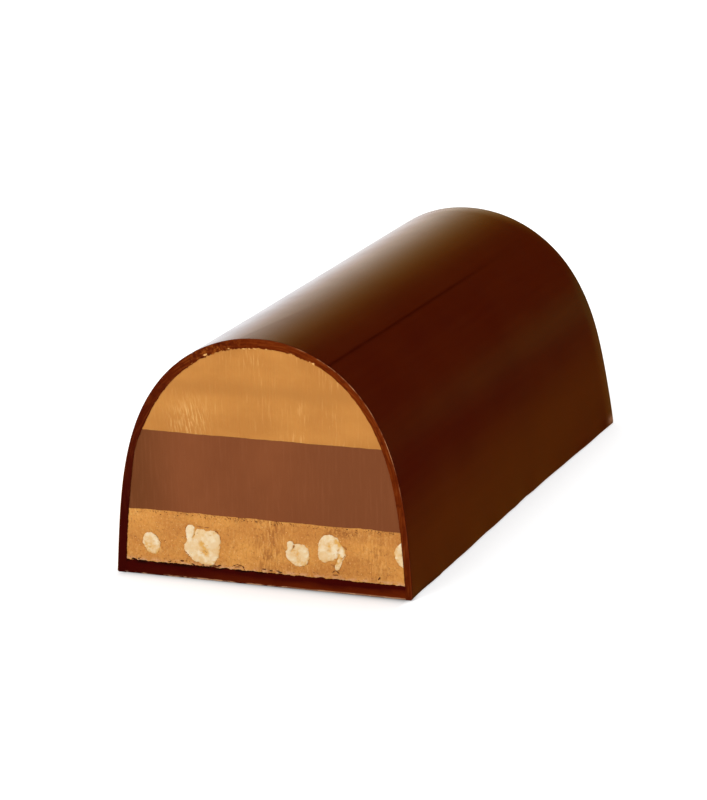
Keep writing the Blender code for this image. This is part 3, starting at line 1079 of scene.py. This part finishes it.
def distanceToLine(x, z, line):
    startX, startZ, endX, endZ = (value * mm for value in line)
    alongX, alongZ = endX - startX, endZ - startZ
    share = ((x - startX) * alongX + (z - startZ) * alongZ) / (alongX ** 2 + alongZ ** 2)
    share = np.clip(share, 0.0, 1.0)
    return np.hypot(x - startX - alongX * share, z - startZ - alongZ * share)


def edgeTan(points, front, lobe):   # the cut nut yellows towards its outline, most low on the right
    rim = KDTree(len(points))
    for index in np.flatnonzero((front < 0.5) & (points[:, 1] < nearY + 0.5 * mm)):
        rim.insert(points[index], int(index))
    rim.balance()
    away = np.array([rim.find(point)[2] if flat > 0 else 9 * mm for point, flat in zip(points, front)])
    turned = (points[:, 0] / mm - lobe[0]) / lobe[2] - (points[:, 2] / mm - lobe[1]) / lobe[3]
    return np.exp(-(away / (0.5 * mm)) ** 2) * np.clip(0.55 + 0.4 * turned, 0.1, 1.0)


def makeHazelnut(name, nut, material):
    mesh = melted(name, meshFromBody(name, lobeBody(nut["lobes"], nut["depth"])), nutLook["voxel"] * 1.5)
    cutFlush(mesh, nearY + nutLook["recess"] + nutLook["voxel"], 0.02 * mm)
    mesh = melted(name, mesh, nutLook["voxel"])
    points = np.array([vertex.co for vertex in mesh.vertices])
    normals = np.array([vertex.normal for vertex in mesh.vertices])
    bumps = np.array([noise.fractal(Vector(point) / mm * 0.6, 0.55, 2.1, 4) for point in points])
    sideways = normals * (bumps * nutLook["knobs"])[:, None]
    sideways[:, 1] = 0.0
    points = points + sideways
    stray = np.array([noise.noise_vector(Vector(point) / mm * 0.45) for point in points])
    stray = stray * nutLook["wander"]
    strayX, strayZ = points[:, 0] + stray[:, 0], points[:, 2] + stray[:, 2]
    away = np.min([distanceToLine(strayX, strayZ, line) for line in nut["creases"]], axis=0)
    crease = np.exp(-(away * (1 + 0.8 * bumps) / nutLook["creaseWidth"]) ** 2)
    notch = np.zeros_like(crease)
    for line in nut["notches"]:
        toNotch = distanceToLine(points[:, 0], points[:, 2], line)
        notch = np.maximum(notch, np.exp(-(toNotch * (1 + bumps) / nutLook["notchWidth"]) ** 2))
    front = np.clip(-normals[:, 1] * 2 - 1, 0.0, 1.0)
    fine = np.array([noise.fractal(Vector(point) / mm * 1.7, 0.7, 2.1, 3) for point in points])
    broad = np.array([noise.fractal(Vector(point) / mm * 0.33, 0.6, 2.1, 2) for point in points])
    points[:, 1] += nearY + nutLook["recess"] - np.percentile(points[:, 1], 2)
    relief = crease * nutLook["creaseDepth"] + notch * nutLook["notchDepth"] + fine * nutLook["grain"]
    points[:, 1] += relief * front
    points[:, 1] = np.maximum(points[:, 1], nearY)
    points[:, 0] = np.minimum(points[:, 0], rightHalf(points[:, 2]) - wallOverlap * 0.5)
    mesh.vertices.foreach_set("co", points.astype(np.float32).ravel())
    tan = mesh.attributes.new("tan", "FLOAT", "POINT")
    shade = crease * (0.66 + 0.4 * fine) + notch * 0.95 + np.clip(broad + 0.06 + fine * 0.25, 0.0, 0.38)
    shade = shade + edgeTan(points, front, nut["lobes"][0]) * (0.42 + 0.5 * fine)
    tan.data.foreach_set("value", np.clip(shade, 0.0, 1.0).astype(np.float32))
    mesh.materials.clear()
    mesh.materials.append(material)
    finishPiece(newObject(name.replace("_", ""), mesh), [name], noSharpEdges)


flesh = hazelnutFlesh()
for nutName, nutShape in hazelnuts.items():
    makeHazelnut(nutName, nutShape, flesh)


# Crumbs and flecks, one piece for each kind.

crumbs = {                         # strewn evenly between two points x, z; sizes in mm
    "chocolateCrumbs": {
        "count": 150, "from": (-37.5, 3.9), "to": (37.5, 3.9), "spread": 0.9,
        "long": 0.42, "thin": 0.1, "seed": 3,
        "slot": "dark_chocolate", "colours": ((0.03, 0.0025, 0.0008), (0.07, 0.01, 0.002)),
    },
    "chocolateSmears": {
        "count": 64, "from": (-36.5, 3.9), "to": (6.0, 3.9), "spread": 0.35,
        "long": 1.8, "thin": 0.3, "seed": 8,
        "slot": "dark_chocolate", "colours": ((0.016, 0.003, 0.001), (0.048, 0.011, 0.003)),
    },
    "skinFlecks": {
        "count": 170, "from": (-36.0, 10.5), "to": (36.0, 10.5), "spread": 5.6,
        "long": 0.3, "thin": 0.08, "seed": 5,
        "slot": "hazelnut_flesh", "colours": ((0.16, 0.045, 0.01), (0.32, 0.105, 0.022)),
    },
    "layerFlecks": {
        "count": 110, "from": (-34.0, 16.7), "to": (36.0, 16.7), "spread": 0.5,
        "long": 0.45, "thin": 0.13, "seed": 6,
        "slot": "dark_chocolate", "colours": ((0.06, 0.012, 0.003), (0.16, 0.045, 0.01)),
    },
    "nutGrains": {
        "count": 170, "from": (-36.0, 10.2), "to": (36.0, 10.2), "spread": 6.0,
        "long": 0.4, "thin": 0.2, "seed": 12,
        "slot": "hazelnut_flesh", "colours": ((0.64, 0.31, 0.085), (0.74, 0.42, 0.16)),
    },
}
crumbDepth = 0.10 * mm             # of a crumb's middle behind the plane of the cut


def crumbTree(name, material, sizes):
    tree, inputs = newSizeTree(name, sizes)
    grid = addNode(tree, "GeometryNodeMeshGrid",
                   {"Size X": 1.0, "Size Y": 1.0, "Vertices X": 90, "Vertices Y": 9})
    flatX, flatY, _ = axes(ownPosition(tree))
    share, aside = flatX + 0.5, flatY * 2
    x = inputs["startX"] + (inputs["endX"] - inputs["startX"]) * share
    z = inputs["startZ"] + (inputs["endZ"] - inputs["startZ"]) * share + aside * inputs["spread"]
    laid = addNode(tree, "GeometryNodeSetPosition",
                   {"Geometry": grid.outputs[0], "Position": combine(x, inputs["depth"], z)})
    patchy = noiseField(combine(x, 0.0, z), 160.0, 2.0, 0.5, inputs["seed"] * 1.0)
    density = inputs["density"] * rampField(patchy, (0.40, 0.15), (0.60, 1.0))
    dots = addNode(tree, "GeometryNodeDistributePointsOnFaces",
                   {"Mesh": laid.outputs[0], "Density": density, "Seed": inputs["seed"]})
    crumb = addNode(tree, "GeometryNodeMeshIcoSphere", {"Radius": 1.0, "Subdivisions": 1})
    lump = noiseField(ownPosition(tree), 1.6, 1.0, 0.5, 2.0) + 0.5
    outward = addNode(tree, "ShaderNodeVectorMath", {0: ownPosition(tree)}, operation="SCALE")
    toSocket(lump, outward.inputs["Scale"])
    rough = addNode(tree, "GeometryNodeSetPosition",
                    {"Geometry": crumb.outputs[0], "Position": outward.outputs[0]})

    def randomBetween(least, most):
        made = addNode(tree, "FunctionNodeRandomValue", {"Min": least, "Max": most, "Seed": inputs["seed"]},
                       data_type="FLOAT")
        return Field(tree, made.outputs["Value"])

    turn, grown = randomBetween(-0.6, 0.6), randomBetween(0.25, 1.0)
    size = combine(grown * inputs["long"] / 2, inputs["thin"] / 2, (grown + 0.5) * inputs["thin"] / 2)
    placed = addNode(tree, "GeometryNodeInstanceOnPoints",
                     {"Points": dots.outputs["Points"], "Instance": rough.outputs[0],
                      "Rotation": combine(0.0, turn, 0.0), "Scale": size})
    real = addNode(tree, "GeometryNodeRealizeInstances", {0: placed.outputs[0]})
    painted = addNode(tree, "GeometryNodeSetMaterial", {"Geometry": real.outputs[0]})
    painted.inputs["Material"].default_value = material
    endTree(tree, painted.outputs[0])
    return tree


def makeCrumbs(name, look):
    material = looseCrumb(name, look["colours"], 0.4)
    (startX, startZ), (endX, endZ) = look["from"], look["to"]
    area = abs(endX - startX) * 2 * look["spread"]
    sizes = {"startX": startX * mm, "startZ": startZ * mm, "endX": endX * mm, "endZ": endZ * mm,
             "spread": look["spread"] * mm, "depth": nearY + crumbDepth,
             "density": look["count"] / area / mm ** 2 * 1.7, "long": look["long"] * mm,
             "thin": look["thin"] * mm, "seed": look["seed"]}
    piece = meshFromTree(name, crumbTree(name, material, sizes), sizes)
    for vertex in piece.data.vertices:
        vertex.co.y = max(vertex.co.y, nearY)
    finishPiece(piece, (), noSharpEdges)


for crumbName, crumbLook in crumbs.items():
    makeCrumbs(crumbName, crumbLook)

bits = {                           # single bits on the cut: x, z, length, thickness in mm, lean in degrees
    "paleBits": {
        "slot": "smooth_praline",
        "colours": ((0.56, 0.25, 0.06), (0.66, 0.37, 0.13)),
        "bits": [
            (-3.6, 61.2, 0.9, 0.4, 4), (-2.1, 61.3, 0.7, 0.34, -6), (-0.7, 61.4, 1.0, 0.42, 0),
            (2.4, 61.45, 0.6, 0.32, 8), (-7.6, 60.9, 0.6, 0.3, 10), (14.8, 58.7, 0.9, 0.5, -20),
            (-14.0, 58.9, 1.3, 0.5, 24), (13.9, 59.1, 0.5, 0.4, -20),
        ],
    },
    "skinBits": {
        "slot": "hazelnut_flesh",
        "colours": ((0.24, 0.075, 0.018), (0.38, 0.15, 0.04)),
        "bits": [
            (-20.7, 6.9, 0.7, 0.3, -60), (-20.2, 6.3, 0.6, 0.35, -50), (-19.8, 5.9, 0.4, 0.3, 0),
            (-16.9, 14.0, 1.5, 0.22, -8), (-15.0, 13.9, 1.2, 0.18, 5), (-12.3, 13.0, 1.1, 0.2, -35),
            (-17.6, 12.2, 0.5, 0.2, 70), (22.3, 11.8, 0.8, 0.22, -60), (22.0, 9.6, 0.9, 0.2, 70),
            (18.9, 7.2, 0.9, 0.25, -30), (-15.3, 7.6, 0.5, 0.14, -60), (8.6, 11.0, 0.7, 0.16, 60),
        ],
    },
    "darkBits": {
        "slot": "dark_chocolate",
        "colours": ((0.06, 0.01, 0.002), (0.15, 0.038, 0.009)),
        "bits": [
            (-21.9, 4.5, 0.9, 0.5, 0), (-12.6, 3.9, 2.4, 0.4, -4), (-7.4, 4.7, 1.1, 0.16, 24),
            (-6.2, 4.8, 1.3, 0.16, -14), (-5.2, 4.4, 0.8, 0.2, -50), (-6.6, 4.3, 1.4, 0.2, 0),
            (0.4, 4.4, 1.2, 0.3, 0), (4.1, 4.3, 0.9, 0.3, 10), (19.2, 5.6, 1.1, 0.18, 40),
            (20.2, 5.5, 1.1, 0.18, -45), (19.6, 4.7, 1.6, 0.3, 0), (31.2, 4.9, 0.9, 0.4, 60),
        ],
    },
}


def makeBits(name, look):
    body = bmesh.new()
    for x, z, length, thickness, lean in look["bits"]:
        place = (Matrix.Translation((x * mm, nearY + crumbDepth, z * mm))
                 @ Matrix.Rotation(math.radians(-lean), 4, "Y")
                 @ Matrix.Diagonal((length * mm / 2, 0.16 * mm, thickness * mm / 2, 1.0)))
        bmesh.ops.create_icosphere(body, subdivisions=3, radius=1.0, matrix=place)
    for vertex in body.verts:
        stray = noise.noise_vector(vertex.co / mm * 1.6) * 0.22 * mm
        vertex.co.x += stray.x
        vertex.co.z += stray.z * 0.6
        vertex.co.y = max(vertex.co.y + stray.y * 0.3, nearY)
    mesh = meshFromBody(name, body)
    mesh.materials.append(looseCrumb(name, look["colours"], 0.5))
    finishPiece(newObject(name, mesh), (), noSharpEdges)


for bitName, bitLook in bits.items():
    makeBits(bitName, bitLook)


# Camera, floor and light.

view = {
    "azimuth": math.radians(20.556),
    "elevation": math.radians(15.018),
    "roll": math.radians(0.948),
    "distance": 0.85827,
    "aim": (0.025187, nearY, 0.050345),
    "lens": 157.5,                 # mm on a 36 mm sensor
}


def addCamera():
    camera = newObject("camera", bpy.data.cameras.new("camera"))
    azimuth, elevation = view["azimuth"], view["elevation"]
    forward = Vector((-math.sin(azimuth) * math.cos(elevation), math.cos(azimuth) * math.cos(elevation),
                      -math.sin(elevation)))
    right = Vector((math.cos(azimuth), math.sin(azimuth), 0.0))
    up = right.cross(forward)
    rolledRight = math.cos(view["roll"]) * right - math.sin(view["roll"]) * up
    rolledUp = math.sin(view["roll"]) * right + math.cos(view["roll"]) * up
    turn = Matrix((rolledRight, rolledUp, -forward)).transposed()
    place = Vector(view["aim"]) - view["distance"] * forward
    camera.matrix_world = Matrix.Translation(place) @ turn.to_4x4()
    camera.data.lens = view["lens"]
    camera.data.sensor_width = 36.0
    camera.data.clip_start = 0.05
    camera.data.clip_end = 50.0
    bpy.context.scene.camera = camera


light = {
    "roomStrength": 0.78,
    "keyEnergy": 9.0,
    "keyPlace": (-0.55, -1.0, 0.9),
    "keySize": 0.9,
    # the white wall low on the left as gloss sees it, from dark to full
    "wallStops": [(0.00, (0.0, 0.0, 0.0)), (0.046, (0.04, 0.022, 0.001)), (0.138, (0.15, 0.060, 0.006)),
                  (0.224, (0.27, 0.140, 0.012)), (0.316, (0.45, 0.29, 0.09)), (0.396, (0.67, 0.50, 0.29)),
                  (0.460, (0.92, 0.75, 0.56)), (0.495, (1.05, 0.88, 0.68)), (0.527, (1.16, 0.97, 0.80)),
                  (0.556, (1.28, 1.12, 1.02)), (0.590, (1.38, 1.32, 1.28)), (0.620, (1.52, 1.52, 1.54)),
                  (0.660, (1.60, 1.62, 1.66)), (0.76, (0.70, 0.62, 0.52)), (0.90, (0.25, 0.19, 0.13))],
    "wallRange": (-0.25, 0.90),
    "glow": (0.205, 0.082, 0.005),             # warm light from the floor
    "upper": (0.075, 0.022, 0.001),            # dim light above the horizon
    "past": (0.125, 0.108, 0.020),             # low band near the horizon, past the bar
    "window": (0.92, 0.79, 0.58),              # as seen in the left side and the far end
    "around": (0.095, 0.074, 0.012),
    "ceiling": (1.0, 0.88, 0.70),
    "ceilingStrength": 0.9,
    # where each of these starts, in parts of the direction, and over how much it grows
    "rises": {
        "ahead": (-0.2, 0.5), "ceiling": (0.62, 0.25), "glow": (0.16, 0.08), "upper": (-0.03, 0.10),
        "past": (0.43, -0.06), "pastSlope": (-0.43, 0.04), "pastTop": (0.10, -0.09),
        "around": (0.75, -0.25), "window": (0.12, 0.4545),
    },
}
black = (0.0, 0.0, 0.0)

floorLook = {
    "halfSize": 6.0,               # m
    "level": -0.00006,             # m, just under the bar
    "tint": (0.93, 0.93, 0.93),
    "glow": 0.45,
    # the bar's shade in front of the cut
    "wideShade": (26.0, 0.20, 0.0008),         # width in mm, depth, growth to the right
    "closeShade": (0.62, 0.43, 0.0022),        # fall for each mm, depth, growth to the right
    "shadeLeft": -38,              # mm, where it starts to fade on the left
    "shadeRight": (41, 3),         # mm, where it ends on the right, and over how much it fades
    "shadeBack": 5,                # mm, how far it reaches under the bar
}


def addFloor():
    body = bmesh.new()
    bmesh.ops.create_grid(body, x_segments=8, y_segments=8, size=floorLook["halfSize"])
    floor = newObject("floor", meshFromBody("floor", body))
    floor.location.z = floorLook["level"]
    material, shader, place = newMaterial("paleFloor", 0.9, Specular_IOR_Level=0.0,
                                          Emission_Strength=floorLook["glow"])
    x, y, _ = axes(place)
    ahead = calc("MAXIMUM", nearY / mm - y, 0.0)
    aside = calc("MAXIMUM", floorLook["shadeLeft"] - x, 0.0) * 2
    away = calc("SQRT", ahead * ahead + aside * aside)
    wide, wideDepth, wideGrowth = floorLook["wideShade"]
    fall, closeDepth, closeGrowth = floorLook["closeShade"]
    shade = bell(away, wide) * (wideDepth + x * wideGrowth)
    shade = shade + calc("EXPONENT", away * -fall) * (closeDepth + x * closeGrowth)
    rightEnd, rightFade = floorLook["shadeRight"]
    shade = shade * clamped((rightEnd - x) / rightFade)
    shade = shade * clamped((nearY / mm - y) / floorLook["shadeBack"] + 1)
    toSocket(mixColour(shade, floorLook["tint"], black), shader.inputs["Base Color"])
    toSocket(mixColour(shade, (1.0, 1.0, 1.0), black), shader.inputs["Emission Color"])
    floor.data.materials.append(material)
    floor.visible_glossy = False


def rise(value, name):
    start, width = light["rises"][name]
    return clamped((value - start) / width)


def addRoom():
    world = bpy.data.worlds.new("studio")
    bpy.context.scene.world = world
    world.use_nodes = True
    tree = world.node_tree
    tree.nodes.clear()
    direction = addNode(tree, "ShaderNodeTexCoord").outputs["Generated"]
    x, y, z = axes(direction)
    lowLeft = 0.0 - x - z * 0.5
    bottom, top = light["wallRange"]
    wall = rampField((lowLeft - bottom) / (top - bottom), *light["wallStops"])
    ahead = rise(y, "ahead")
    ceiling = rise(z, "ceiling") * light["ceilingStrength"]
    glow = rise(calc("MINIMUM", 0.39 - x, 0.10) * 1.2 - z, "glow")
    wall = mixColour(glow, wall, light["glow"], "LIGHTEN")
    wall = mixColour(rise(z, "upper"), wall, light["upper"], "LIGHTEN")
    past = rise(x, "past") * rise(z - x, "pastSlope") * rise(z, "pastTop")
    wall = mixColour(past, wall, light["past"], "LIGHTEN")
    around = rise(y, "around")
    window = mixColour(rise(z, "window") * around, black, light["window"])
    window = mixColour(around, window, light["around"], "LIGHTEN")
    overhead = mixColour(ceiling, black, light["ceiling"])
    reflected = mixColour(1.0, mixColour(ahead, black, wall), overhead, "ADD")
    reflected = mixColour(1.0, reflected, window, "LIGHTEN")
    gloss = addNode(tree, "ShaderNodeBackground", {"Color": reflected, "Strength": 1.0})
    room = addNode(tree, "ShaderNodeBackground", {"Color": (1, 1, 1, 1), "Strength": light["roomStrength"]})
    world.cycles.sampling_method = "NONE"      # so that gloss sees the walls and not the even light
    path = addNode(tree, "ShaderNodeLightPath")
    mixed = addNode(tree, "ShaderNodeMixShader", {0: path.outputs["Is Glossy Ray"], 1: room.outputs[0],
                                                  2: gloss.outputs[0]})
    output = addNode(tree, "ShaderNodeOutputWorld")
    tree.links.new(mixed.outputs[0], output.inputs["Surface"])


def addKey():
    lamp = newObject("softBox", bpy.data.lights.new("softBox", "AREA"))
    lamp.data.energy = light["keyEnergy"]
    lamp.data.size = light["keySize"]
    lamp.location = light["keyPlace"]
    lamp.rotation_euler = (Vector((0.0, 0.0, 0.03)) - lamp.location).to_track_quat("-Z", "Y").to_euler()
    lamp.visible_glossy = False


addCamera()
addFloor()
addRoom()
addKey()
bpy.context.scene.view_settings.view_transform = "Standard"
print("camera, floor and light are set")
